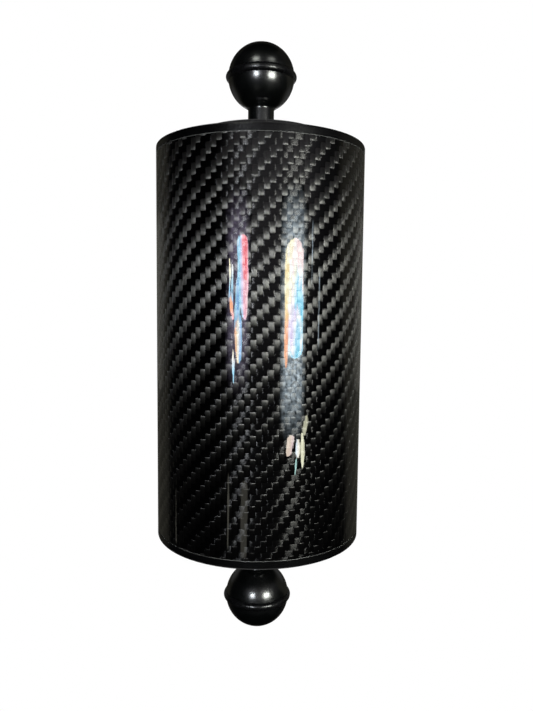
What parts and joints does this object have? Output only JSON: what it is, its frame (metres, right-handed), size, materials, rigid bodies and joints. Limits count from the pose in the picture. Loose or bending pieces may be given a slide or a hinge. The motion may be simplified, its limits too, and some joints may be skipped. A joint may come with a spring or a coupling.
{
  "type": "buoyancy float arm",
  "caption": "Sealed carbon-fibre float tube with a ball post on each end, carrying and lifting an underwater camera light.",
  "frame": {"origin": "middle of the arm, on the tube's axis, halfway between the two balls", "axes": "+Z along the tube's axis towards the upper ball"},
  "size_m": [0.08, 0.08, 0.228],
  "materials": {
    "carbon_twill": "2/2 twill carbon fibre under a smooth clear coat",
    "cap_black": "black anodised, satin",
    "ball_black": "black hard anodised, semi-gloss",
    "grip_rubber": "smooth black nitrile",
    "seal_rubber": "smooth black nitrile",
    "epoxy": "cured grey epoxy",
    "stainless": "plain stainless steel"
  },
  "bodies": {
    "root": {"carbon_tube": "carbon_twill", "upper_end_cap": "cap_black", "lower_end_cap": "cap_black", "upper_cap_seal_outer": "seal_rubber", "lower_cap_seal_outer": "seal_rubber", "upper_cap_seal_inner": "seal_rubber", "lower_cap_seal_inner": "seal_rubber", "upper_bond_ring": "epoxy", "lower_bond_ring": "epoxy", "upper_foot_seal": "seal_rubber", "lower_foot_seal": "seal_rubber", "upper_ball_post": "ball_black", "lower_ball_post": "ball_black", "upper_grip_ring": "grip_rubber", "lower_grip_ring": "grip_rubber", "upper_ball_screw": "stainless", "lower_ball_screw": "stainless"}
  },
  "joints": []
}
